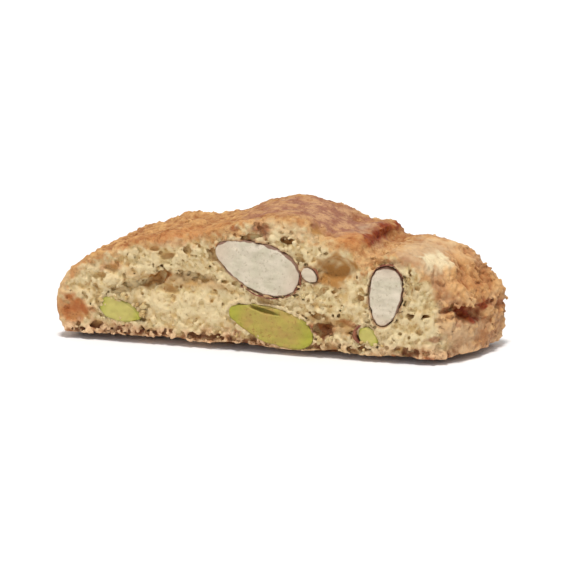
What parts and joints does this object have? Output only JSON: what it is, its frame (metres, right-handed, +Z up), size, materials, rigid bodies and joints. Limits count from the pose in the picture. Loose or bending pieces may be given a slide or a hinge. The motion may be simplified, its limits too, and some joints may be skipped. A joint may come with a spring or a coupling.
{
  "type": "biscotti",
  "caption": "A biscotto: a crisp twice-baked slice of nut biscuit loaf with flat cut faces, halved almonds and pistachios in them, and a craggy browned crust.",
  "frame": {"origin": "on the flat base of the loaf, midway along the slice and midway between its two cut faces", "axes": "+X along the slice towards its thick craggy end, -Y out of the front cut face, +Z up through the crown"},
  "size_m": [0.0693, 0.0194, 0.0221],
  "materials": {
    "biscuit": "dry baked biscuit: pale straw crumb, open and torn, browning to a matt orange-brown crust",
    "almond": "cut almond flesh, ivory with a soft sheen, edged by a thin brown skin",
    "pistachio": "cut and toasted pistachio flesh, olive yellow with a soft sheen",
    "skin": "papery nut skin, matt reddish brown"
  },
  "bodies": {
    "root": {"biscuit": "biscuit", "almond_centre": "almond", "almond_right": "almond", "almond_chip": "almond", "almond_back_round": "almond", "almond_back_long": "almond", "pistachio_low": "pistachio", "pistachio_left": "pistachio", "pistachio_chip": "pistachio", "pistachio_back_left": "pistachio", "pistachio_back_right": "pistachio"}
  },
  "joints": []
}
